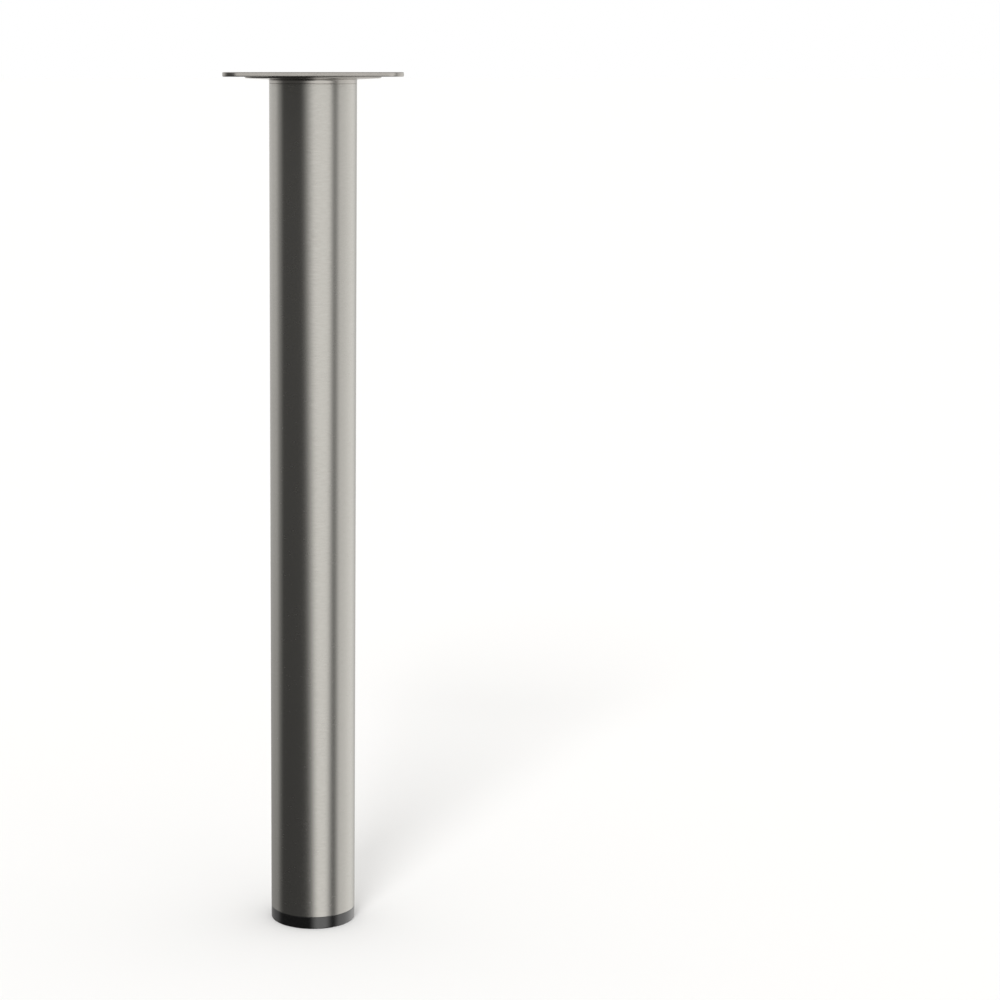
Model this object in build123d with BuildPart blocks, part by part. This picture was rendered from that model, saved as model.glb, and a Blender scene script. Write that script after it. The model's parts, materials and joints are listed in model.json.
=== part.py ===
from build123d import *
import os

# Round tube furniture leg with a square mounting plate and a levelling foot.
# Millimetres. The origin is the centre of the foot's underside and +Z runs up the tube.
# The sides of the plate lie along X and Y. The foot is screwed fully in.

# Whole leg
total_height = 300.0

# Tube
tube_diameter = 30.0
tube_wall = 1.5
tube_end_chamfer = 0.25

# Mounting plate, pressed from one steel sheet
plate_side = 60.0
plate_thickness = 1.5
plate_corner_radius = 5.0
plate_top_chamfer = 0.3
screw_spacing = 45.0
screw_hole_diameter = 5.0

# Dish in the plate: a sloping wall, then a floor, thinned by the press, that falls gently to the neck
dish_rim_diameter = 51.2
dish_wall_run = 3.1
dish_depth = 1.25
dish_floor_fall = 0.45
dish_floor_thickness = 0.8
dish_step_run = 0.5
dish_rim_round = 0.8
dish_foot_round = 1.4

# Neck that the dish's floor is drawn down into, and the seam where the tube is welded to it
neck_length = 1.35
neck_bend_radius = 1.1
neck_root_chamfer = 0.4

# Foot pad, as wide as the tube, moulded round the head of its stud
pad_height = 4.4
pad_top_chamfer = 0.2
pad_bottom_chamfer = 0.4

# Stud of the foot: an M8 thread with a hexagon head
stud_diameter = 8.0
stud_length = 28.0
stud_tip_chamfer = 0.9
stud_head_across_flats = 13.0
stud_head_height = 2.8

# Plastic insert pressed into the tube's lower end
insert_length = 20.0
insert_recess = 0.2
insert_seat_height = 3.0
insert_rib_count = 2
insert_rib_pitch = 6.4
insert_rib_land = 0.6
insert_rib_depth = 1.2
insert_nose_inset = 2.0
insert_boss_diameter = 14.0
insert_pocket_depth = 13.0
insert_pocket_wall = 1.8
insert_web_count = 6
insert_web_width = 1.6
stud_clearance = 0.05

# Radii and levels that follow from the sizes above
tube_radius = tube_diameter / 2
bore_radius = tube_radius - tube_wall
plate_bottom = total_height - plate_thickness
rim_radius = dish_rim_diameter / 2
formed_radius = rim_radius + dish_rim_round
floor_radius = rim_radius - dish_wall_run
under_floor_radius = floor_radius + dish_step_run
under_step_radius = under_floor_radius + dish_step_run
floor_edge_level = total_height - dish_depth
floor_neck_level = floor_edge_level - dish_floor_fall
under_edge_level = floor_edge_level - dish_floor_thickness
under_neck_level = floor_neck_level - dish_floor_thickness
seam_level = under_neck_level - neck_length
tube_bottom = pad_height
insert_core_radius = bore_radius - insert_rib_depth
insert_bottom = tube_bottom + insert_recess
insert_top = insert_bottom + insert_length
insert_hole_radius = stud_diameter / 2 + stud_clearance
tolerance = 0.001


def round_corner(section, x, y, radius):
    """Round the corner of a half section that lies nearest to the point x, y."""
    corner = section.vertices().sort_by_distance((x, y, 0))[0]
    fillet(corner, radius)


def circles(part, radius, level=None):
    """The circular edges of a part with this radius, at one level if it is given."""
    found = part.edges().filter_by(GeomType.CIRCLE).filter_by(
        lambda edge: abs(edge.radius - radius) < tolerance
    )
    if level is None:
        return found
    return found.filter_by_position(Axis.Z, level - tolerance, level + tolerance)


# Mounting plate: the flat square first, then the dish and the neck that are formed from its middle
with BuildPart() as mounting_plate:
    with BuildSketch(Plane.XY.offset(plate_bottom)):
        RectangleRounded(plate_side, plate_side, plate_corner_radius)
    extrude(amount=plate_thickness)
    chamfer(mounting_plate.faces().sort_by(Axis.Z)[-1].edges(), plate_top_chamfer)

    # Room for the formed middle
    with BuildSketch(Plane.XY.offset(plate_bottom)):
        Circle(formed_radius)
    extrude(amount=plate_thickness, mode=Mode.SUBTRACT)

    # Half section of the dish and the neck: inwards and down on top, then out again underneath
    with BuildSketch(Plane.XZ) as formed_section:
        with BuildLine():
            Polyline(
                (formed_radius, total_height),
                (rim_radius, total_height),
                (floor_radius, floor_edge_level),
                (bore_radius, floor_neck_level),
                (bore_radius, seam_level),
                (tube_radius, seam_level),
                (tube_radius, under_neck_level),
                (under_floor_radius, under_edge_level),
                (under_step_radius, plate_bottom),
                (formed_radius, plate_bottom),
                close=True,
            )
        make_face()
        round_corner(formed_section, rim_radius, total_height, dish_rim_round)
        round_corner(formed_section, floor_radius, floor_edge_level, dish_foot_round)
        round_corner(formed_section, bore_radius, floor_neck_level, neck_bend_radius)
    revolve(axis=Axis.Z)
    chamfer(circles(mounting_plate, tube_radius, under_neck_level), neck_root_chamfer)
    chamfer(circles(mounting_plate, tube_radius, seam_level), tube_end_chamfer)

    # Four plain screw holes
    with BuildSketch(Plane.XY.offset(total_height)):
        with GridLocations(screw_spacing, screw_spacing, 2, 2):
            Circle(screw_hole_diameter / 2)
    extrude(amount=-plate_thickness, mode=Mode.SUBTRACT)
mounting_plate.part.label = "mounting_plate"


# Leg tube, from the pad up to the seam under the neck
with BuildPart() as leg_tube:
    with BuildSketch(Plane.XY.offset(tube_bottom)):
        Circle(tube_radius)
        Circle(bore_radius, mode=Mode.SUBTRACT)
    extrude(amount=seam_level - tube_bottom)
    chamfer(circles(leg_tube, tube_radius), tube_end_chamfer)
leg_tube.part.label = "leg_tube"


# Insert: a core with a seat ring and barbed ribs as wide as the bore, and a threaded boss held by webs
with BuildPart() as tube_insert:
    rib_foot = insert_bottom + insert_seat_height
    outline = [(0, insert_bottom), (bore_radius, insert_bottom), (bore_radius, rib_foot)]
    for _ in range(insert_rib_count):
        rib_foot += insert_rib_pitch
        outline += [
            (insert_core_radius, rib_foot),
            (bore_radius, rib_foot),
            (bore_radius, rib_foot + insert_rib_land),
        ]
    outline += [(bore_radius - insert_nose_inset, insert_top), (0, insert_top)]
    with BuildSketch(Plane.XZ):
        with BuildLine():
            Polyline(*outline, close=True)
        make_face()
    revolve(axis=Axis.Z)

    # Pockets between the webs, open at the top
    with BuildSketch(Plane.XY.offset(insert_top)):
        Circle(insert_core_radius - insert_pocket_wall)
        Circle(insert_boss_diameter / 2, mode=Mode.SUBTRACT)
        with PolarLocations(0, insert_web_count // 2, angular_range=180):
            Rectangle(2 * insert_core_radius, insert_web_width, mode=Mode.SUBTRACT)
    extrude(amount=-insert_pocket_depth, mode=Mode.SUBTRACT)

    # Hole for the stud's thread, through the whole length
    with BuildSketch(Plane.XY.offset(insert_bottom)):
        Circle(insert_hole_radius)
    extrude(amount=insert_length, mode=Mode.SUBTRACT)
tube_insert.part.label = "tube_insert"


# Stud of the foot: the hexagon head is sunk in the pad, and the shank runs up through the insert
with BuildPart() as foot_stud:
    with BuildSketch(Plane.XY.offset(pad_height)):
        RegularPolygon(stud_head_across_flats / 2, side_count=6, major_radius=False)
    extrude(amount=-stud_head_height)
    with BuildSketch(Plane.XY.offset(pad_height)):
        Circle(stud_diameter / 2)
    extrude(amount=stud_length)
    chamfer(circles(foot_stud, stud_diameter / 2, pad_height + stud_length), stud_tip_chamfer)
foot_stud.part.label = "foot_stud"


# Foot pad: a disc flush with the tube, moulded round the stud's head
with BuildPart() as foot_pad:
    with BuildSketch():
        Circle(tube_radius)
    extrude(amount=pad_height)
    chamfer(circles(foot_pad, tube_radius, 0), pad_bottom_chamfer)
    chamfer(circles(foot_pad, tube_radius, pad_height), pad_top_chamfer)
    with BuildSketch(Plane.XY.offset(pad_height)):
        RegularPolygon(stud_head_across_flats / 2, side_count=6, major_radius=False)
    extrude(amount=-stud_head_height, mode=Mode.SUBTRACT)
foot_pad.part.label = "foot_pad"


os.makedirs("parts", exist_ok=True)
export_step(mounting_plate.part, "parts/mounting_plate.step")
export_step(leg_tube.part, "parts/leg_tube.step")
export_step(tube_insert.part, "parts/tube_insert.step")
export_step(foot_stud.part, "parts/foot_stud.step")
export_step(foot_pad.part, "parts/foot_pad.step")
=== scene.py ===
import json
import math

import bmesh
import bpy
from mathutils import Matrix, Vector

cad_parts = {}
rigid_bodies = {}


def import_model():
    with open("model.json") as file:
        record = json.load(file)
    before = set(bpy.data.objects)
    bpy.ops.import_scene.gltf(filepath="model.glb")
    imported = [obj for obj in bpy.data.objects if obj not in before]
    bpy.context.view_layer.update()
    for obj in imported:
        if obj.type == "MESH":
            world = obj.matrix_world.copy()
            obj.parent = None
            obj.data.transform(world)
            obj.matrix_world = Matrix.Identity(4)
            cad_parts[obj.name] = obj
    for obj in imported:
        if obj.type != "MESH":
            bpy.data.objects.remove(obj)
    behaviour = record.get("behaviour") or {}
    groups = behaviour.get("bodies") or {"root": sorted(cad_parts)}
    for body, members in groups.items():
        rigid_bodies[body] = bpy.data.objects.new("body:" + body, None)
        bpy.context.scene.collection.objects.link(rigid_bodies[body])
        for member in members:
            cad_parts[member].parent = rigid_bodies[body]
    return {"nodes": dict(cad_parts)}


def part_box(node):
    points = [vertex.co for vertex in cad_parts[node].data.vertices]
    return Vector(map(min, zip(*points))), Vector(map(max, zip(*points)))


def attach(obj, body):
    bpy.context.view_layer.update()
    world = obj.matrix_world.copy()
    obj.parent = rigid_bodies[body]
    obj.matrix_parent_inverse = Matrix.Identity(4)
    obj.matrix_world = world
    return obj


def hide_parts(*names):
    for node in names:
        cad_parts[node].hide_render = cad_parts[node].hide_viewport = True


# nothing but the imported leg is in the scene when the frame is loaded
for leftover in list(bpy.data.objects):
    bpy.data.objects.remove(leftover)
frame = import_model()
bpy.context.view_layer.update()

mm = 0.001
fullTurn = 2 * math.pi
closeEnough = 0.01  # mm
weldDistance = 0.0005 * mm
trueEdgeAngle = math.radians(32)  # a bend past this is a real edge and is shaded as one


def linearColour(hexCode):
    # sRGB hex to the linear colour that the shaders take
    channels = [int(hexCode[at:at + 2], 16) / 255 for at in (0, 2, 4)]
    return [c / 12.92 if c <= 0.04045 else ((c + 0.055) / 1.055) ** 2.4 for c in channels] + [1.0]


def addNode(tree, kind, settings=None, inputs=None):
    # one node with its settings, its inputs filled from nodes, their outputs or plain values
    node = tree.nodes.new(kind)
    for name, value in (settings or {}).items():
        setattr(node, name, value)
    for name, value in (inputs or {}).items():
        if isinstance(value, bpy.types.Node):
            value = value.outputs[0]
        if isinstance(value, bpy.types.NodeSocket):
            tree.links.new(value, node.inputs[name])
        else:
            node.inputs[name].default_value = value
    return node


# Finishes

noiseLow, noiseHigh = 0.3, 0.7     # most of what a noise node gives lies between these
mixedLow, mixedHigh = 0.35, 0.65   # and of two such noises mixed, between these


def newMaterial(name, settings):
    # an empty material with its Principled shader, whose own sockets take the settings
    material = bpy.data.materials.new(name)
    material.use_nodes = True
    tree = material.node_tree
    tree.nodes.clear()
    shader = addNode(tree, "ShaderNodeBsdfPrincipled", None, settings)
    addNode(tree, "ShaderNodeOutputMaterial", None, {"Surface": shader.outputs["BSDF"]})
    return material, tree, shader


brushedTube = {
    "colour": "CCCAC5",
    "colourInHollows": "C3C1BB",
    "roughness": 0.24,
    "roughnessSpread": 0.04,
    "anisotropy": 0.65,
    "hairLength": 2.4,     # mm, along the circumference
    "hairWidth": 0.45,     # mm, coarser than the real 0.05 mm so that the belt's lines show at all
    "streakLength": 5.0,   # mm, where one grain of the belt cut longer and deeper
    "streakWidth": 0.6,    # mm
    "streakShare": 0.3,    # of the whole grain
    "hairDepth": 0.0003,   # mm
}


def makeBrushedSteel(name, values):
    # stainless steel tube, ground on a belt while it turned: its fine lines run round it and draw
    # each reflection out along the tube, so light and dark stand on it as tall soft-edged bands
    material, tree, shader = newMaterial(name, {
        "Metallic": 1.0,
        "Anisotropic": values["anisotropy"],
        "Anisotropic Rotation": 0.25,  # a quarter turn, across the lines
    })
    place = addNode(tree, "ShaderNodeTexCoord")
    grain = {}
    for line in ("hair", "streak"):
        length, width = values[line + "Length"], values[line + "Width"]
        stretch = addNode(tree, "ShaderNodeMapping", None, {
            "Vector": place.outputs["Object"],
            "Scale": (1 / (length * mm), 1 / (length * mm), 1 / (width * mm)),
        })
        grain[line] = addNode(tree, "ShaderNodeTexNoise", None, {
            "Vector": stretch.outputs["Vector"],
            "Scale": 1.0,
            "Detail": 2.0,
            "Roughness": 0.6,
        })
    both = addNode(tree, "ShaderNodeMix", {"data_type": "FLOAT"}, {
        "Factor": values["streakShare"],
        "A": grain["hair"].outputs["Fac"],
        "B": grain["streak"].outputs["Fac"],
    })
    tint = addNode(tree, "ShaderNodeMix", {"data_type": "RGBA"}, {
        "Factor": both.outputs["Result"],
        "A": linearColour(values["colourInHollows"]),
        "B": linearColour(values["colour"]),
    })
    rough = addNode(tree, "ShaderNodeMapRange", None, {
        "Value": both.outputs["Result"],
        "From Min": noiseLow,
        "From Max": noiseHigh,
        "To Min": values["roughness"] + values["roughnessSpread"],
        "To Max": values["roughness"] - values["roughnessSpread"],
    })
    relief = addNode(tree, "ShaderNodeBump", None, {
        "Height": both.outputs["Result"],
        "Strength": 1.0,
        "Distance": values["hairDepth"] * mm,
    })
    around = addNode(tree, "ShaderNodeTangent", {"direction_type": "RADIAL", "axis": "Z"})
    tree.links.new(tint.outputs["Result"], shader.inputs["Base Color"])
    tree.links.new(rough.outputs["Result"], shader.inputs["Roughness"])
    tree.links.new(relief.outputs["Normal"], shader.inputs["Normal"])
    tree.links.new(around.outputs["Tangent"], shader.inputs["Tangent"])
    return material


satinPlate = {
    "colour": "C9C6C1",
    "colourInGrain": "BDB9B3",
    "roughness": 0.2,
    "roughnessSpread": 0.04,
    "grainSize": 0.35,     # mm
    "cloudSize": 16.0,     # mm, the slow change of gloss across rolled sheet
    "cloudShare": 0.5,     # of the whole change in gloss
    "grainDepth": 0.0003,  # mm
}


def makeSatinSteel(name, values):
    # cold rolled stainless sheet, pressed and then satin blasted: an even soft gloss with no
    # direction, broken by a grain that only just shows and by slow clouds in the gloss
    material, tree, shader = newMaterial(name, {"Metallic": 1.0})
    place = addNode(tree, "ShaderNodeTexCoord")
    grain = addNode(tree, "ShaderNodeTexNoise", None, {
        "Vector": place.outputs["Object"],
        "Scale": 1 / (values["grainSize"] * mm),
        "Detail": 3.0,
        "Roughness": 0.65,
    })
    cloud = addNode(tree, "ShaderNodeTexNoise", None, {
        "Vector": place.outputs["Object"],
        "Scale": 1 / (values["cloudSize"] * mm),
        "Detail": 2.0,
    })
    tint = addNode(tree, "ShaderNodeMix", {"data_type": "RGBA"}, {
        "Factor": grain.outputs["Fac"],
        "A": linearColour(values["colourInGrain"]),
        "B": linearColour(values["colour"]),
    })
    both = addNode(tree, "ShaderNodeMix", {"data_type": "FLOAT"}, {
        "Factor": values["cloudShare"],
        "A": grain.outputs["Fac"],
        "B": cloud.outputs["Fac"],
    })
    rough = addNode(tree, "ShaderNodeMapRange", None, {
        "Value": both.outputs["Result"],
        "From Min": mixedLow,
        "From Max": mixedHigh,
        "To Min": values["roughness"] - values["roughnessSpread"],
        "To Max": values["roughness"] + values["roughnessSpread"],
    })
    relief = addNode(tree, "ShaderNodeBump", None, {
        "Height": grain.outputs["Fac"],
        "Strength": 1.0,
        "Distance": values["grainDepth"] * mm,
    })
    tree.links.new(tint.outputs["Result"], shader.inputs["Base Color"])
    tree.links.new(rough.outputs["Result"], shader.inputs["Roughness"])
    tree.links.new(relief.outputs["Normal"], shader.inputs["Normal"])
    return material


# the sheet's sheared edge, a little duller and coarser than its faces
stampedEdge = {
    "colour": "CAC7C2",
    "colourInGrain": "B9B6B0",
    "roughness": 0.3,
    "roughnessSpread": 0.05,
    "grainSize": 0.25,
    "cloudSize": 6.0,
    "cloudShare": 0.5,
    "grainDepth": 0.003,
}

# inside, the tube keeps the duller skin that it was drawn with, which spreads light further
drawnBore = {
    "colour": "C4BFB2",
    "colourInHollows": "B3AEA2",
    "roughness": 0.5,
    "roughnessSpread": 0.05,
    "anisotropy": 0.6,
    "hairLength": 4.0,
    "hairWidth": 0.4,
    "streakLength": 9.0,
    "streakWidth": 1.2,
    "streakShare": 0.3,
    "hairDepth": 0.001,
}

blackPad = {
    "colour": "050505",
    "roughness": 0.12,
    "roughnessSpread": 0.03,
    "ior": 1.55,
    "specularLevel": 1.0,
    "coat": 0.6,
    "grainSize": 0.5,      # mm, the flow of the moulded skin
    "grainDepth": 0.0008,  # mm
    "paleSpots": 1.3,      # times as light as the rest
}


def makeMouldedPlastic(name, values):
    # injection moulded plastic: near black through and through, with the gloss of its mould and a
    # skin that is not quite flat, so reflections on it waver a little
    material, tree, shader = newMaterial(name, {
        "IOR": values["ior"],
        "Specular IOR Level": values["specularLevel"],
        "Coat Weight": values["coat"],
        "Coat Roughness": values["roughness"],
    })
    place = addNode(tree, "ShaderNodeTexCoord")
    skin = addNode(tree, "ShaderNodeTexNoise", None, {
        "Vector": place.outputs["Object"],
        "Scale": 1 / (values["grainSize"] * mm),
        "Detail": 2.0,
    })
    dark = linearColour(values["colour"])
    tint = addNode(tree, "ShaderNodeMix", {"data_type": "RGBA"}, {
        "Factor": skin.outputs["Fac"],
        "A": dark,
        "B": [values["paleSpots"] * channel for channel in dark[:3]] + [1.0],
    })
    rough = addNode(tree, "ShaderNodeMapRange", None, {
        "Value": skin.outputs["Fac"],
        "From Min": noiseLow,
        "From Max": noiseHigh,
        "To Min": values["roughness"] - values["roughnessSpread"],
        "To Max": values["roughness"] + values["roughnessSpread"],
    })
    relief = addNode(tree, "ShaderNodeBump", None, {
        "Height": skin.outputs["Fac"],
        "Strength": 1.0,
        "Distance": values["grainDepth"] * mm,
    })
    tree.links.new(tint.outputs["Result"], shader.inputs["Base Color"])
    tree.links.new(rough.outputs["Result"], shader.inputs["Roughness"])
    tree.links.new(relief.outputs["Normal"], shader.inputs["Normal"])
    return material


# soft plastic from a spark-eroded mould: a dull dark grey that stays in the shade of the tube
mattInsert = {
    "colour": "1B1B1C",
    "roughness": 0.5,
    "roughnessSpread": 0.08,
    "ior": 1.5,
    "specularLevel": 0.5,
    "coat": 0.0,
    "grainSize": 0.3,
    "grainDepth": 0.004,
    "paleSpots": 1.3,
}

# bright zinc on a rolled thread: a cool, slightly cloudy grey
zincStud = {
    "colour": "C4C6C8",
    "colourInGrain": "A9ABAA",
    "roughness": 0.33,
    "roughnessSpread": 0.08,
    "grainSize": 0.5,
    "cloudSize": 4.0,
    "cloudShare": 0.5,
    "grainDepth": 0.003,
}

tubeFinish = makeBrushedSteel("brushed stainless steel", brushedTube)
plateFinish = makeSatinSteel("satin stainless sheet", satinPlate)
edgeFinish = makeSatinSteel("stamped steel edge", stampedEdge)
boreFinish = makeBrushedSteel("drawn steel bore", drawnBore)
padFinish = makeMouldedPlastic("black polyamide", blackPad)
insertFinish = makeMouldedPlastic("matt black polyethylene", mattInsert)
studFinish = makeSatinSteel("zinc plated steel", zincStud)
print("finishes made")


# Outlines and meshes

def roundedOutline(corners, closed, arcStep=9, hold=0.25):
    # corners are (x, z, radius) in mm; gives (x, z) with each radius as a true arc, in steps of
    # arcStep degrees, and a point near each end of a long straight, which keeps the shading of
    # the arcs off it
    runs = []
    count = len(corners)
    for at, (x, z, radius) in enumerate(corners):
        if radius == 0 or (not closed and at in (0, count - 1)):
            runs.append([(x, z)])
            continue
        beforeX, beforeZ, _ = corners[at - 1]
        afterX, afterZ, _ = corners[(at + 1) % count]
        inAngle = math.atan2(z - beforeZ, x - beforeX)
        outAngle = math.atan2(afterZ - z, afterX - x)
        turn = (outAngle - inAngle + math.pi) % fullTurn - math.pi
        reach = radius * math.tan(abs(turn) / 2)
        side = math.copysign(1, turn)
        centreX = x - reach * math.cos(inAngle) - side * radius * math.sin(inAngle)
        centreZ = z - reach * math.sin(inAngle) + side * radius * math.cos(inAngle)
        steps = max(2, math.ceil(math.degrees(abs(turn)) / arcStep))
        start = inAngle - side * math.pi / 2
        runs.append([
            (
                centreX + radius * math.cos(start + turn * step / steps),
                centreZ + radius * math.sin(start + turn * step / steps),
            )
            for step in range(steps + 1)
        ])
    points = []
    for at, run in enumerate(runs):
        points += run
        if not closed and at == count - 1:
            break
        fromX, fromZ = run[-1]
        toX, toZ = runs[(at + 1) % count][0]
        length = math.hypot(toX - fromX, toZ - fromZ)
        if length > 4 * hold:
            for share in (hold / length, 1 - hold / length):
                points.append((fromX + share * (toX - fromX), fromZ + share * (toZ - fromZ)))
    return points


def outlineMesh(name, points):
    # a closed loop of edges in the XZ plane, which the turning tree takes as its outline
    mesh = bpy.data.meshes.new(name)
    edges = [(at, (at + 1) % len(points)) for at in range(len(points))]
    mesh.from_pydata([(x * mm, 0, z * mm) for x, z in points], edges, [])
    return mesh


def faceOutwards(mesh):
    # every face turned to the outside, whichever way the tree wound it
    shape = bmesh.new()
    shape.from_mesh(mesh)
    bmesh.ops.recalc_face_normals(shape, faces=shape.faces)
    shape.to_mesh(mesh)
    shape.free()


def bakeTree(name, host, tree, values):
    # runs a geometry tree on a host mesh and keeps only the plain mesh that it makes
    shape = bpy.data.objects.new(name, host)
    bpy.context.scene.collection.objects.link(shape)
    modifier = shape.modifiers.new("build", "NODES")
    modifier.node_group = tree
    for socket in tree.interface.items_tree:
        if socket.in_out == "INPUT" and socket.name in values:
            modifier[socket.identifier] = values[socket.name]
    graph = bpy.context.evaluated_depsgraph_get()
    mesh = bpy.data.meshes.new_from_object(shape.evaluated_get(graph))
    mesh.name = name
    shape.modifiers.clear()
    shape.data = mesh
    faceOutwards(mesh)
    return shape


def addSockets(tree, inputs):
    # the tree's named inputs and its one output
    for name, kind in inputs:
        tree.interface.new_socket(name, in_out="INPUT", socket_type="NodeSocket" + kind)
    tree.interface.new_socket("Shape", in_out="OUTPUT", socket_type="NodeSocketGeometry")


def gridPlace(tree, columns):
    # row and column of each point of a grid, from its index
    index = addNode(tree, "GeometryNodeInputIndex")
    row = addNode(tree, "FunctionNodeIntegerMath", {"operation": "DIVIDE_FLOOR"}, {
        0: index.outputs["Index"],
        1: columns,
    })
    column = addNode(tree, "FunctionNodeIntegerMath", {"operation": "MODULO"}, {
        0: index.outputs["Index"],
        1: columns,
    })
    return row.outputs[0], column.outputs[0]


def finishTree(tree, geometry, smoothAngle, material, boreRadius=None, boreMaterial=None):
    # smooth shading that breaks at true edges, then real faces with their finish
    smooth = addNode(tree, "GeometryNodeSetShadeSmooth", {"domain": "FACE"}, {
        "Geometry": geometry,
        "Shade Smooth": True,
    })
    bend = addNode(tree, "GeometryNodeInputMeshEdgeAngle")
    isGreater = {"data_type": "FLOAT", "operation": "GREATER_THAN"}
    sharp = addNode(tree, "FunctionNodeCompare", isGreater, {
        "A": bend.outputs["Unsigned Angle"],
        "B": smoothAngle,
    })
    broken = addNode(tree, "GeometryNodeSetShadeSmooth", {"domain": "EDGE"}, {
        "Geometry": smooth.outputs["Geometry"],
        "Selection": sharp.outputs["Result"],
        "Shade Smooth": False,
    })
    real = addNode(tree, "GeometryNodeRealizeInstances", None, {
        "Geometry": broken.outputs["Geometry"],
    })
    painted = addNode(tree, "GeometryNodeSetMaterial", None, {
        "Geometry": real.outputs["Geometry"],
        "Material": material,
    })
    if boreMaterial is not None:
        place = addNode(tree, "GeometryNodeInputPosition")
        flat = addNode(tree, "ShaderNodeVectorMath", {"operation": "MULTIPLY"}, {
            0: place.outputs["Position"],
            1: (1, 1, 0),
        })
        reach = addNode(tree, "ShaderNodeVectorMath", {"operation": "LENGTH"}, {
            0: flat.outputs["Vector"],
        })
        isLess = {"data_type": "FLOAT", "operation": "LESS_THAN"}
        inside = addNode(tree, "FunctionNodeCompare", isLess, {
            "A": reach.outputs["Value"],
            "B": boreRadius,
        })
        painted = addNode(tree, "GeometryNodeSetMaterial", None, {
            "Geometry": painted.outputs["Geometry"],
            "Selection": inside.outputs["Result"],
            "Material": boreMaterial,
        })
    addNode(tree, "NodeGroupOutput", None, {"Shape": painted.outputs["Geometry"]})


def makeTurningTree():
    # turns an outline about the Z axis: point i of the outline becomes ring i of the shape
    tree = bpy.data.node_groups.new("turned form", "GeometryNodeTree")
    addSockets(tree, [
        ("Outline", "Geometry"),
        ("Segments", "Int"),
        ("Smooth Angle", "Float"),
        ("Finish", "Material"),
        ("Bore Radius", "Float"),
        ("Bore Finish", "Material"),
    ])
    given = addNode(tree, "NodeGroupInput")
    size = addNode(tree, "GeometryNodeAttributeDomainSize", {"component": "MESH"}, {
        "Geometry": given.outputs["Outline"],
    })
    rows = addNode(tree, "FunctionNodeIntegerMath", {"operation": "ADD"}, {
        0: size.outputs["Point Count"],
        1: 1,
    })
    columns = addNode(tree, "FunctionNodeIntegerMath", {"operation": "ADD"}, {
        0: given.outputs["Segments"],
        1: 1,
    })
    grid = addNode(tree, "GeometryNodeMeshGrid", None, {
        "Vertices X": rows.outputs[0],
        "Vertices Y": columns.outputs[0],
    })
    row, column = gridPlace(tree, columns.outputs[0])
    ring = addNode(tree, "FunctionNodeIntegerMath", {"operation": "MODULO"}, {
        0: row,
        1: size.outputs["Point Count"],
    })
    share = addNode(tree, "ShaderNodeMath", {"operation": "DIVIDE"}, {
        0: column,
        1: given.outputs["Segments"],
    })
    angle = addNode(tree, "ShaderNodeMath", {"operation": "MULTIPLY"}, {
        0: share.outputs[0],
        1: fullTurn,
    })
    place = addNode(tree, "GeometryNodeInputPosition")
    ofPoints = {"data_type": "FLOAT_VECTOR", "domain": "POINT"}
    point = addNode(tree, "GeometryNodeSampleIndex", ofPoints, {
        "Geometry": given.outputs["Outline"],
        "Value": place.outputs["Position"],
        "Index": ring.outputs[0],
    })
    turned = addNode(tree, "ShaderNodeVectorRotate", {"rotation_type": "Z_AXIS"}, {
        "Vector": point.outputs["Value"],
        "Angle": angle.outputs[0],
    })
    moved = addNode(tree, "GeometryNodeSetPosition", None, {
        "Geometry": grid.outputs["Mesh"],
        "Position": turned.outputs["Vector"],
    })
    closed = addNode(tree, "GeometryNodeMergeByDistance", None, {
        "Geometry": moved.outputs["Geometry"],
        "Distance": weldDistance,
    })
    finishTree(
        tree,
        closed.outputs["Geometry"],
        given.outputs["Smooth Angle"],
        given.outputs["Finish"],
        given.outputs["Bore Radius"],
        given.outputs["Bore Finish"],
    )
    return tree


turningTree = makeTurningTree()


# Leg tube

tubeSizes = {
    "wall": 1.5,          # mm
    "edgeRound": 0.1,     # mm, the cut ends broken by deburring
    "innerRound": 0.15,   # mm
    "boreReach": 0.3,     # mm outside the bore, up to where a face takes the bore's finish
    "segments": 256,
}
tubeLow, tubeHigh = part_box("leg_tube")
tubeRadius = (tubeHigh.x - tubeLow.x) / 2 / mm
boreRadius = tubeRadius - tubeSizes["wall"]
seamLevel = tubeHigh.z / mm


def makeLegTube(sizes):
    low = tubeLow.z / mm
    outline = roundedOutline([
        (boreRadius, low, sizes["innerRound"]),
        (tubeRadius, low, sizes["edgeRound"]),
        (tubeRadius, seamLevel, sizes["edgeRound"]),
        (boreRadius, seamLevel, 0),
    ], closed=True)
    return bakeTree("legTube", outlineMesh("tube outline", outline), turningTree, {
        "Segments": sizes["segments"],
        "Smooth Angle": trueEdgeAngle,
        "Finish": tubeFinish,
        "Bore Radius": (boreRadius + sizes["boreReach"]) * mm,
        "Bore Finish": boreFinish,
    })


legTube = makeLegTube(tubeSizes)
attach(legTube, "leg")
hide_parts("leg_tube")
print("tube made,", len(legTube.data.polygons), "faces")


# Mounting plate

plateSizes = {
    "thickness": 1.5,        # mm, as all below
    "cornerRadius": 5.0,
    "topRound": 0.3,
    "bottomRound": 0.35,
    "screwSpacing": 45.0,
    "screwHole": 5.0,
    "holeRound": 0.12,
    "edgeBand": 3.0,         # in from the sides, where an upright face belongs to the sheared edge
    "rimDiameter": 51.2,     # the dish, where its wall starts
    "rimRound": 0.8,
    "wallRun": 3.1,
    "dishDepth": 1.25,
    "footRound": 1.4,
    "floorFall": 0.45,
    "floorThickness": 0.8,
    "stepRun": 0.5,
    "underRound": 0.4,
    "neckBend": 0.6,
    "neckRoot": 0.4,
    "seamRound": 0.1,
    "segments": 256,
    "cornerSteps": 18,
    "holeSegments": 48,
}
plateLow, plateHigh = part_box("mounting_plate")


def circlePoints(centre, radius, count):
    return [
        (
            centre[0] + radius * math.cos(fullTurn * step / count),
            centre[1] + radius * math.sin(fullTurn * step / count),
        )
        for step in range(count)
    ]


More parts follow.
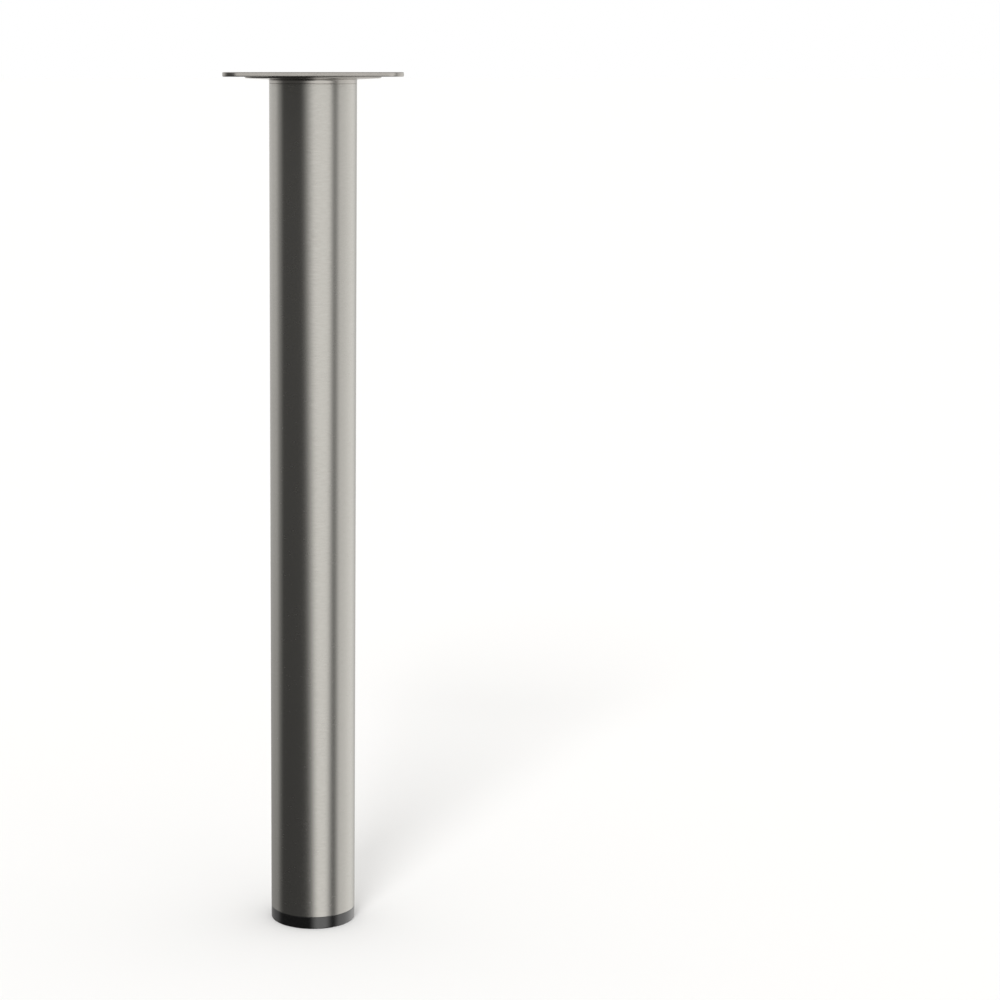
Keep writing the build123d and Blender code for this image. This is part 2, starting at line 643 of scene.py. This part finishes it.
def squarePoints(side, cornerRadius, inset, steps, support=1.0):
    # a square with round corners, anticlockwise, drawn in by inset; the support points beside
    # the corners keep their curved shading off the straight sides
    middle = side / 2 - cornerRadius
    radius = cornerRadius - inset
    points = []
    for quarter in range(4):
        turn = quarter * math.pi / 2
        local = [(middle + radius, middle - support)]
        local += [
            (
                middle + radius * math.cos(math.pi / 2 * step / steps),
                middle + radius * math.sin(math.pi / 2 * step / steps),
            )
            for step in range(steps + 1)
        ]
        local.append((middle - support, middle + radius))
        points += [
            (x * math.cos(turn) - y * math.sin(turn), x * math.sin(turn) + y * math.cos(turn))
            for x, y in local
        ]
    return points


def addLoop(shape, points, level):
    return [shape.verts.new((x * mm, y * mm, level * mm)) for x, y in points]


def joinLoops(shape, loops):
    # a band of quads from each loop to the next
    for first, second in zip(loops, loops[1:]):
        count = len(first)
        for at in range(count):
            after = (at + 1) % count
            shape.faces.new((first[at], first[after], second[after], second[at]))


def fillFlat(shape, loops):
    # one flat face between an outer loop and the loops inside it, shaded flat
    edges = []
    for loop in loops:
        for at, vert in enumerate(loop):
            following = loop[(at + 1) % len(loop)]
            edges.append(shape.edges.get((vert, following)) or shape.edges.new((vert, following)))
    made = bmesh.ops.triangle_fill(shape, use_beauty=True, edges=edges)
    for face in made["geom"]:
        if isinstance(face, bmesh.types.BMFace):
            face.smooth = False


def edgeSteps(roundTop, roundBottom, top, bottom, steps=5, hold=0.1):
    # (inset, level) down a cut edge: a rounded top, a plain wall and a rounded bottom
    turns = [math.pi / 2 * step / steps for step in range(steps + 1)]
    bends = [(1 - math.sin(turn), 1 - math.cos(turn)) for turn in turns]
    down = [(roundTop * across, top - roundTop * drop) for across, drop in bends]
    wall = [(0, top - roundTop - hold), (0, bottom + roundBottom + hold)]
    under = [(roundBottom * drop, bottom + roundBottom * across) for across, drop in bends]
    return down + wall + under


def meshFromShape(name, shape, *finishes):
    # the finished bmesh as an object, welded, with its faces outwards and its true edges sharp
    bmesh.ops.remove_doubles(shape, verts=shape.verts, dist=weldDistance)
    bmesh.ops.recalc_face_normals(shape, faces=shape.faces)
    for edge in shape.edges:
        edge.smooth = edge.calc_face_angle(0) < trueEdgeAngle
    mesh = bpy.data.meshes.new(name)
    shape.to_mesh(mesh)
    shape.free()
    for finish in finishes:
        mesh.materials.append(finish)
    made = bpy.data.objects.new(name, mesh)
    bpy.context.scene.collection.objects.link(made)
    return made


def makeMountingPlate(sizes):
    side = (plateHigh.x - plateLow.x) / mm
    top = plateHigh.z / mm
    bottom = top - sizes["thickness"]
    rim = sizes["rimDiameter"] / 2
    formed = rim + 2 * sizes["rimRound"]
    floorRadius = rim - sizes["wallRun"]
    floorEdge = top - sizes["dishDepth"]
    floorNeck = floorEdge - sizes["floorFall"]
    underEdge = floorEdge - sizes["floorThickness"]
    underNeck = floorNeck - sizes["floorThickness"]
    underFloor = floorRadius + sizes["stepRun"]

    # the formed middle: in and down over the dish and the neck, and out again underneath
    section = roundedOutline([
        (formed, top, 0),
        (rim, top, sizes["rimRound"]),
        (floorRadius, floorEdge, sizes["footRound"]),
        (boreRadius, floorNeck, sizes["neckBend"]),
        (boreRadius, seamLevel, 0),
        (tubeRadius, seamLevel, sizes["seamRound"]),
        (tubeRadius, underNeck, sizes["neckRoot"]),
        (underFloor, underEdge, sizes["underRound"]),
        (underFloor + sizes["stepRun"], bottom, sizes["underRound"]),
        (formed, bottom, 0),
    ], closed=False)
    shape = bmesh.new()
    rings = [
        addLoop(shape, circlePoints((0, 0), radius, sizes["segments"]), level)
        for radius, level in section
    ]
    joinLoops(shape, rings)

    # the cut outer edge
    corner, cornerSteps = sizes["cornerRadius"], sizes["cornerSteps"]
    outline = [
        addLoop(shape, squarePoints(side, corner, inset, cornerSteps), level)
        for inset, level in edgeSteps(sizes["topRound"], sizes["bottomRound"], top, bottom)
    ]
    joinLoops(shape, outline)

    # four screw holes
    topLoops = [outline[0], rings[0]]
    bottomLoops = [outline[-1], rings[-1]]
    reach, radius = sizes["screwSpacing"] / 2, sizes["screwHole"] / 2
    for x, y in ((reach, reach), (-reach, reach), (-reach, -reach), (reach, -reach)):
        hole = [
            addLoop(shape, circlePoints((x, y), radius + outset, sizes["holeSegments"]), level)
            for outset, level in edgeSteps(sizes["holeRound"], sizes["holeRound"], top, bottom)
        ]
        joinLoops(shape, hole)
        topLoops.append(hole[0])
        bottomLoops.append(hole[-1])

    # the finishes: the sheet's own, then 1 for the sheared edge and 2 for the bore
    for face in shape.faces:
        face.smooth = True
        centre = face.calc_center_median() / mm
        if math.hypot(centre.x, centre.y) < boreRadius + closeEnough:
            face.material_index = 2
        elif max(abs(centre.x), abs(centre.y)) > side / 2 - sizes["edgeBand"]:
            if bottom + sizes["bottomRound"] < centre.z < top - sizes["topRound"]:
                face.material_index = 1
    fillFlat(shape, topLoops)
    fillFlat(shape, bottomLoops)
    return meshFromShape("mountingPlate", shape, plateFinish, edgeFinish, boreFinish)


mountingPlate = makeMountingPlate(plateSizes)
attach(mountingPlate, "leg")
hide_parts("mounting_plate")
print("plate made,", len(mountingPlate.data.polygons), "faces")


# Foot pad

padSizes = {
    "topRound": 0.1,       # mm, as all below
    "bottomRound": 0.4,
    "pocketRound": 0.1,
    "segments": 256,
}
padLow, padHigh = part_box("foot_pad")
studLow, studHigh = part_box("foot_stud")
headFlats = (studHigh.y - studLow.y) / mm


def hexagonPoints(acrossFlats, steps=4):
    # a hexagon with flats towards +Y and -Y and a few points on each side
    corners = circlePoints((0, 0), acrossFlats / math.sqrt(3), 6)
    points = []
    for at, (x, y) in enumerate(corners):
        nextX, nextY = corners[(at + 1) % len(corners)]
        points += [
            (x + (nextX - x) * step / steps, y + (nextY - y) * step / steps)
            for step in range(steps)
        ]
    return points


def makeFootPad(sizes):
    top = padHigh.z / mm
    pocketFloor = studLow.z / mm
    shape = bmesh.new()
    sideLoops = [
        addLoop(shape, circlePoints((0, 0), tubeRadius - inset, sizes["segments"]), level)
        for inset, level in edgeSteps(sizes["topRound"], sizes["bottomRound"], top, padLow.z / mm)
    ]
    joinLoops(shape, sideLoops)
    for face in shape.faces:
        face.smooth = True
    pocketRound = sizes["pocketRound"]
    pocket = [
        addLoop(shape, hexagonPoints(headFlats + 2 * outset), level)
        for outset, level in ((pocketRound, top), (0, top - pocketRound), (0, pocketFloor))
    ]
    joinLoops(shape, pocket)
    fillFlat(shape, [sideLoops[0], pocket[0]])
    fillFlat(shape, [pocket[-1]])
    fillFlat(shape, [sideLoops[-1]])
    return meshFromShape("footPad", shape, padFinish)


footPad = makeFootPad(padSizes)
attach(footPad, "foot")
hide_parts("foot_pad")
print("pad made,", len(footPad.data.polygons), "faces")


# Stud of the foot

studSizes = {
    "diameter": 8.0,       # mm, as all below
    "pitch": 1.25,
    "threadDepth": 0.7,
    "runOut": 1.6,
    "tipChamfer": 0.9,
    "headEdge": 0.15,
    "sides": 48,
    "rowsPerPitch": 12,
    "smoothAngle": 40,     # degrees
}
crestEnd, rootStart = 0.125, 0.75  # a crest takes an eighth of the pitch, and a root a quarter


def makeHead(sizes):
    # the hexagon head, open where the shank joins its top
    top = padHigh.z / mm
    shape = bmesh.new()
    head = [
        addLoop(shape, hexagonPoints(headFlats - 2 * inset), level)
        for inset, level in (
            (sizes["headEdge"], top),
            (0, top - sizes["headEdge"]),
            (0, studLow.z / mm),
        )
    ]
    joinLoops(shape, head)
    foot = addLoop(shape, circlePoints((0, 0), sizes["diameter"] / 2, sizes["sides"]), top)
    fillFlat(shape, [head[0], foot])
    fillFlat(shape, [head[-1]])
    mesh = bpy.data.meshes.new("stud head")
    shape.to_mesh(mesh)
    shape.free()
    return mesh


def makeThreadTree():
    # a screw thread by its rule: the depth at each point follows from its height in pitches, less
    # its share of a turn
    tree = bpy.data.node_groups.new("threaded shank", "GeometryNodeTree")
    addSockets(tree, [
        ("Head", "Geometry"),
        ("Radius", "Float"),
        ("Pitch", "Float"),
        ("Thread Depth", "Float"),
        ("Run Out", "Float"),
        ("Tip Chamfer", "Float"),
        ("Base Level", "Float"),
        ("Tip Level", "Float"),
        ("Sides", "Int"),
        ("Rows", "Int"),
        ("Smooth Angle", "Float"),
        ("Finish", "Material"),
    ])
    given = addNode(tree, "NodeGroupInput")
    columns = addNode(tree, "FunctionNodeIntegerMath", {"operation": "ADD"}, {
        0: given.outputs["Sides"],
        1: 1,
    })
    rows = addNode(tree, "FunctionNodeIntegerMath", {"operation": "ADD"}, {
        0: given.outputs["Rows"],
        1: 2,
    })
    grid = addNode(tree, "GeometryNodeMeshGrid", None, {
        "Vertices X": rows.outputs[0],
        "Vertices Y": columns.outputs[0],
    })
    row, column = gridPlace(tree, columns.outputs[0])
    share = addNode(tree, "ShaderNodeMath", {"operation": "DIVIDE"}, {
        0: column,
        1: given.outputs["Sides"],
    })
    angle = addNode(tree, "ShaderNodeMath", {"operation": "MULTIPLY"}, {0: share, 1: fullTurn})
    rise = addNode(tree, "ShaderNodeMath", {"operation": "SUBTRACT"}, {
        0: given.outputs["Tip Level"],
        1: given.outputs["Base Level"],
    })
    climb = addNode(tree, "ShaderNodeMath", {"operation": "DIVIDE"}, {
        0: row,
        1: given.outputs["Rows"],
    })
    toTop = addNode(tree, "ShaderNodeMath", {"operation": "MINIMUM"}, {0: climb, 1: 1.0})
    height = addNode(tree, "ShaderNodeMath", {"operation": "MULTIPLY"}, {0: rise, 1: toTop})
    pitches = addNode(tree, "ShaderNodeMath", {"operation": "DIVIDE"}, {
        0: height,
        1: given.outputs["Pitch"],
    })
    along = addNode(tree, "ShaderNodeMath", {"operation": "SUBTRACT"}, {0: pitches, 1: share})
    phase = addNode(tree, "ShaderNodeMath", {"operation": "FRACT"}, {0: along})
    centred = addNode(tree, "ShaderNodeMath", {"operation": "MULTIPLY_ADD"}, {
        0: phase,
        1: 2.0,
        2: -1.0,
    })
    flank = addNode(tree, "ShaderNodeMath", {"operation": "ABSOLUTE"}, {0: centred})
    groove = addNode(tree, "ShaderNodeMapRange", None, {
        "Value": flank,
        "From Min": crestEnd,
        "From Max": rootStart,
    })
    fade = addNode(tree, "ShaderNodeMapRange", None, {
        "Value": height,
        "From Max": given.outputs["Run Out"],
    })
    faded = addNode(tree, "ShaderNodeMath", {"operation": "MULTIPLY"}, {0: groove, 1: fade})
    cut = addNode(tree, "ShaderNodeMath", {"operation": "MULTIPLY"}, {
        0: faded,
        1: given.outputs["Thread Depth"],
    })
    threaded = addNode(tree, "ShaderNodeMath", {"operation": "SUBTRACT"}, {
        0: given.outputs["Radius"],
        1: cut,
    })
    tipRadius = addNode(tree, "ShaderNodeMath", {"operation": "SUBTRACT"}, {
        0: given.outputs["Radius"],
        1: given.outputs["Tip Chamfer"],
    })
    belowTip = addNode(tree, "ShaderNodeMath", {"operation": "SUBTRACT"}, {0: rise, 1: height})
    chamfered = addNode(tree, "ShaderNodeMath", {"operation": "ADD"}, {0: tipRadius, 1: belowTip})
    outside = addNode(tree, "ShaderNodeMath", {"operation": "MINIMUM"}, {0: threaded, 1: chamfered})

    # the row past the last one closes the tip on the axis
    lastRow = addNode(tree, "ShaderNodeMath", {"operation": "ADD"}, {
        0: given.outputs["Rows"],
        1: 0.5,
    })
    isShank = addNode(tree, "ShaderNodeMath", {"operation": "LESS_THAN"}, {0: row, 1: lastRow})
    radius = addNode(tree, "ShaderNodeMath", {"operation": "MULTIPLY"}, {0: outside, 1: isShank})
    across = addNode(tree, "ShaderNodeMath", {"operation": "COSINE"}, {0: angle})
    deep = addNode(tree, "ShaderNodeMath", {"operation": "SINE"}, {0: angle})
    point = addNode(tree, "ShaderNodeCombineXYZ", None, {
        "X": addNode(tree, "ShaderNodeMath", {"operation": "MULTIPLY"}, {0: radius, 1: across}),
        "Y": addNode(tree, "ShaderNodeMath", {"operation": "MULTIPLY"}, {0: radius, 1: deep}),
        "Z": addNode(tree, "ShaderNodeMath", {"operation": "ADD"}, {
            0: height,
            1: given.outputs["Base Level"],
        }),
    })
    moved = addNode(tree, "GeometryNodeSetPosition", None, {
        "Geometry": grid.outputs["Mesh"],
        "Position": point.outputs["Vector"],
    })
    joined = addNode(tree, "GeometryNodeJoinGeometry")
    tree.links.new(given.outputs["Head"], joined.inputs["Geometry"])
    tree.links.new(moved.outputs["Geometry"], joined.inputs["Geometry"])
    closed = addNode(tree, "GeometryNodeMergeByDistance", None, {
        "Geometry": joined.outputs["Geometry"],
        "Distance": weldDistance,
    })
    finishTree(
        tree,
        closed.outputs["Geometry"],
        given.outputs["Smooth Angle"],
        given.outputs["Finish"],
    )
    return tree


def makeFootStud(sizes):
    length = (studHigh.z - padHigh.z) / mm
    return bakeTree("footStud", makeHead(sizes), makeThreadTree(), {
        "Radius": sizes["diameter"] / 2 * mm,
        "Pitch": sizes["pitch"] * mm,
        "Thread Depth": sizes["threadDepth"] * mm,
        "Run Out": sizes["runOut"] * mm,
        "Tip Chamfer": sizes["tipChamfer"] * mm,
        "Base Level": padHigh.z,
        "Tip Level": studHigh.z,
        "Sides": sizes["sides"],
        "Rows": round(length / sizes["pitch"] * sizes["rowsPerPitch"]),
        "Smooth Angle": math.radians(sizes["smoothAngle"]),
        "Finish": studFinish,
    })


footStud = makeFootStud(studSizes)
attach(footStud, "foot")
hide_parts("foot_stud")
print("stud made,", len(footStud.data.polygons), "faces")


# Tube insert: its solid has the right shape and only takes its finish
for slot in frame["nodes"]["tube_insert"].material_slots:
    slot.material = insertFinish


# Studio

studio = {
    "wall": 1.0,               # light from all round and from the pale floor, as the metal shows it
    "nearFoot": 0.55,          # light from right under, where the leg stands in its own way
    "nearFootFrom": -65.0,     # degrees up, so under the horizon
    "nearFootTo": -25.0,
    "ceiling": 0.52,           # light that the metal shows from above the walls
    "ceilingFrom": 14,         # degrees up, where the walls begin to darken
    "ceilingTo": 20,
    "cardTop": 30,             # degrees up, where the cards end
    "cardTopSoft": 10,
    "cardsLow": 30.0,          # degrees below the horizon, past which the cards change no more
    "darkest": 0.97,           # the most that a card takes
    "legLight": "FFFEFC",
    "keyStrength": 1.1,        # watts a square metre
    "keySpread": 18,           # degrees across, as the floor sees it
    "keyAzimuth": -16.5,       # degrees from the camera's side, to its left
    "keyElevation": 38,        # degrees
    "floorColour": "F4F4F4",
    "floorSize": 400.0,        # m
}

# dark cards that stand round the leg: azimuth from the camera's side with right positive, half
# width and softness of the edge in degrees, and the share of the light that the card takes
cards = [
    {"azimuth": -58.3, "halfWidth": 43.3, "soft": 20.5, "dark": 0.913},
    {"azimuth": 60.4, "halfWidth": 8.4, "soft": 7.8, "dark": 0.623},
    {"azimuth": 77.7, "halfWidth": 21.2, "soft": 23.7, "dark": 0.22},
    {"azimuth": -133.8, "halfWidth": 37.7, "soft": 5.0, "dark": 0.283},
    {"azimuth": 160.0, "halfWidth": 17.0, "soft": 14.0, "dark": 0.38},
]

# how each of these changes with every degree below the horizon
cardsBelow = [
    {"azimuth": 0.336, "halfWidth": 0.477, "soft": -0.4, "dark": 0.0015},
    {"azimuth": -0.197, "halfWidth": 0.21, "soft": 0.216, "dark": 0.0119},
    {"azimuth": 0.18, "halfWidth": -0.04, "soft": 0.0, "dark": 0.0},
    {"azimuth": 0.0, "halfWidth": 0.0, "soft": 0.0, "dark": 0.0211},
    {"azimuth": 0.0, "halfWidth": 0.0, "soft": 0.0, "dark": 0.0},
]


def makeWorld(values):
    # white to the camera; to the leg, a pale round studio with soft-edged dark cards in it
    world = bpy.data.worlds.new("studio")
    world.use_nodes = True
    bpy.context.scene.world = world
    tree = world.node_tree
    tree.nodes.clear()
    direction = addNode(tree, "ShaderNodeTexCoord")
    parts = addNode(tree, "ShaderNodeSeparateXYZ", None, {
        "Vector": direction.outputs["Generated"],
    })
    degree = 180 / math.pi
    toCamera = addNode(tree, "ShaderNodeMath", {"operation": "MULTIPLY"}, {
        0: parts.outputs["Y"],
        1: -1.0,
    })
    turn = addNode(tree, "ShaderNodeMath", {"operation": "ARCTAN2"}, {
        0: parts.outputs["X"],
        1: toCamera,
    })
    azimuth = addNode(tree, "ShaderNodeMath", {"operation": "MULTIPLY"}, {0: turn, 1: degree})
    climb = addNode(tree, "ShaderNodeMath", {"operation": "ARCSINE"}, {0: parts.outputs["Z"]})
    elevation = addNode(tree, "ShaderNodeMath", {"operation": "MULTIPLY"}, {0: climb, 1: degree})
    drop = addNode(tree, "ShaderNodeMath", {"operation": "MULTIPLY"}, {0: elevation, 1: -1.0})
    fromLevel = addNode(tree, "ShaderNodeMath", {"operation": "MAXIMUM"}, {0: drop, 1: 0.0})
    below = addNode(tree, "ShaderNodeMath", {"operation": "MINIMUM"}, {
        0: fromLevel,
        1: values["cardsLow"],
    })

    # the walls, a little darker towards the foot
    light = addNode(tree, "ShaderNodeMapRange", {"interpolation_type": "SMOOTHSTEP"}, {
        "Value": elevation,
        "From Min": values["nearFootFrom"],
        "From Max": values["nearFootTo"],
        "To Min": values["nearFoot"],
        "To Max": values["wall"],
    })

    # each card takes its share of the light where it stands, up to its soft top
    upTo = addNode(tree, "ShaderNodeMapRange", {"interpolation_type": "SMOOTHSTEP"}, {
        "Value": elevation,
        "From Min": values["cardTop"] - values["cardTopSoft"],
        "From Max": values["cardTop"] + values["cardTopSoft"],
        "To Min": 1.0,
        "To Max": 0.0,
    })
    for card, change in zip(cards, cardsBelow):
        here = {
            name: addNode(tree, "ShaderNodeMath", {"operation": "MULTIPLY_ADD"}, {
                0: below,
                1: change[name],
                2: card[name],
            })
            for name in card
        }
        apart = addNode(tree, "ShaderNodeMath", {"operation": "SUBTRACT"}, {
            0: azimuth,
            1: here["azimuth"],
        })
        shortWay = addNode(tree, "ShaderNodeMath", {"operation": "WRAP"}, {
            0: apart,
            1: 180.0,
            2: -180.0,
        })
        aside = addNode(tree, "ShaderNodeMath", {"operation": "ABSOLUTE"}, {0: shortWay})
        beyond = addNode(tree, "ShaderNodeMath", {"operation": "SUBTRACT"}, {
            0: aside,
            1: here["halfWidth"],
        })
        within = addNode(tree, "ShaderNodeMath", {"operation": "MULTIPLY"}, {
            0: here["soft"],
            1: -1.0,
        })
        dark = addNode(tree, "ShaderNodeMath", {"operation": "MINIMUM"}, {
            0: here["dark"],
            1: values["darkest"],
        })
        inCard = addNode(tree, "ShaderNodeMapRange", {"interpolation_type": "SMOOTHSTEP"}, {
            "Value": beyond,
            "From Min": within,
            "From Max": here["soft"],
            "To Min": dark,
            "To Max": 0.0,
        })
        taken = addNode(tree, "ShaderNodeMath", {"operation": "MULTIPLY"}, {0: inCard, 1: upTo})
        kept = addNode(tree, "ShaderNodeMath", {"operation": "SUBTRACT"}, {0: 1.0, 1: taken})
        light = addNode(tree, "ShaderNodeMath", {"operation": "MULTIPLY"}, {0: light, 1: kept})

    # the metal alone sees a darker ceiling
    ray = addNode(tree, "ShaderNodeLightPath")
    dimmed = addNode(tree, "ShaderNodeMapRange", {"interpolation_type": "SMOOTHSTEP"}, {
        "Value": elevation,
        "From Min": values["ceilingFrom"],
        "From Max": values["ceilingTo"],
        "To Min": 0.0,
        "To Max": 1.0 - values["ceiling"],
    })
    dimmedForMetal = addNode(tree, "ShaderNodeMath", {"operation": "MULTIPLY"}, {
        0: dimmed,
        1: ray.outputs["Is Glossy Ray"],
    })
    forMetal = addNode(tree, "ShaderNodeMath", {"operation": "SUBTRACT"}, {
        0: 1.0,
        1: dimmedForMetal,
    })
    light = addNode(tree, "ShaderNodeMath", {"operation": "MULTIPLY"}, {0: light, 1: forMetal})
    forLeg = addNode(tree, "ShaderNodeBackground", None, {
        "Color": linearColour(values["legLight"]),
        "Strength": light,
    })
    forCamera = addNode(tree, "ShaderNodeBackground", None, {
        "Color": linearColour("FFFFFF"),
        "Strength": 1.0,
    })
    shown = addNode(tree, "ShaderNodeMixShader", None, {
        0: ray.outputs["Is Camera Ray"],
        1: forLeg,
        2: forCamera,
    })
    addNode(tree, "ShaderNodeOutputWorld", None, {"Surface": shown})


def makeFloor(values):
    # a matt floor just off white, which takes the leg's soft shadow and has no shine of its own
    mesh = bpy.data.meshes.new("floor")
    reach = values["floorSize"] / 2
    corners = [(x * reach, y * reach, 0) for x, y in ((-1, -1), (1, -1), (1, 1), (-1, 1))]
    mesh.from_pydata(corners, [], [(0, 1, 2, 3)])
    floor = bpy.data.objects.new("floor", mesh)
    bpy.context.scene.collection.objects.link(floor)
    material, _, _ = newMaterial("matt white floor", {
        "Base Color": linearColour(values["floorColour"]),
        "Roughness": 1.0,
        "Specular IOR Level": 0.0,
    })
    mesh.materials.append(material)
    floor.visible_glossy = False  # the metal shows the pale studio in its place
    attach(floor, "foot")  # the foot stands on it however far it is screwed out


def makeKeyLight(values):
    # a wide soft lamp in front and to the left, far enough off to light the whole floor alike
    lamp = bpy.data.lights.new("soft key", "SUN")
    lamp.angle = math.radians(values["keySpread"])
    lamp.energy = values["keyStrength"]
    key = bpy.data.objects.new("soft key", lamp)
    bpy.context.scene.collection.objects.link(key)
    key.rotation_euler.x = math.radians(90 - values["keyElevation"])
    key.rotation_euler.z = math.radians(values["keyAzimuth"])
    key.visible_glossy = False  # the bright studio round the leg is what the steel shows


makeWorld(studio)
makeFloor(studio)
makeKeyLight(studio)
print("studio made")


# Camera

view = {
    "focalPixels": 2447,     # in the photograph's 1000 pixels
    "pitch": 9.953,          # degrees down
    "distance": 0.845,       # m
    "height": 0.3005,        # m, level with the plate
    "axisPixel": 313.05,     # the leg's axis, across the picture
    "imagePixels": 1000,
    "sensorWidth": 36,       # mm
}


def makeCamera(values):
    camera = bpy.data.cameras.new("camera")
    camera.sensor_width = values["sensorWidth"]
    camera.lens = values["focalPixels"] * camera.sensor_width / values["imagePixels"]
    camera.shift_x = 0.5 - values["axisPixel"] / values["imagePixels"]
    camera.clip_start = 0.01
    camera.clip_end = 100
    holder = bpy.data.objects.new("camera", camera)
    bpy.context.scene.collection.objects.link(holder)
    holder.location = (0, -values["distance"], values["height"])
    holder.rotation_euler = (math.radians(90 - values["pitch"]), 0, 0)
    bpy.context.scene.camera = holder


makeCamera(view)
bpy.context.scene.view_settings.view_transform = "Standard"
print("camera made")
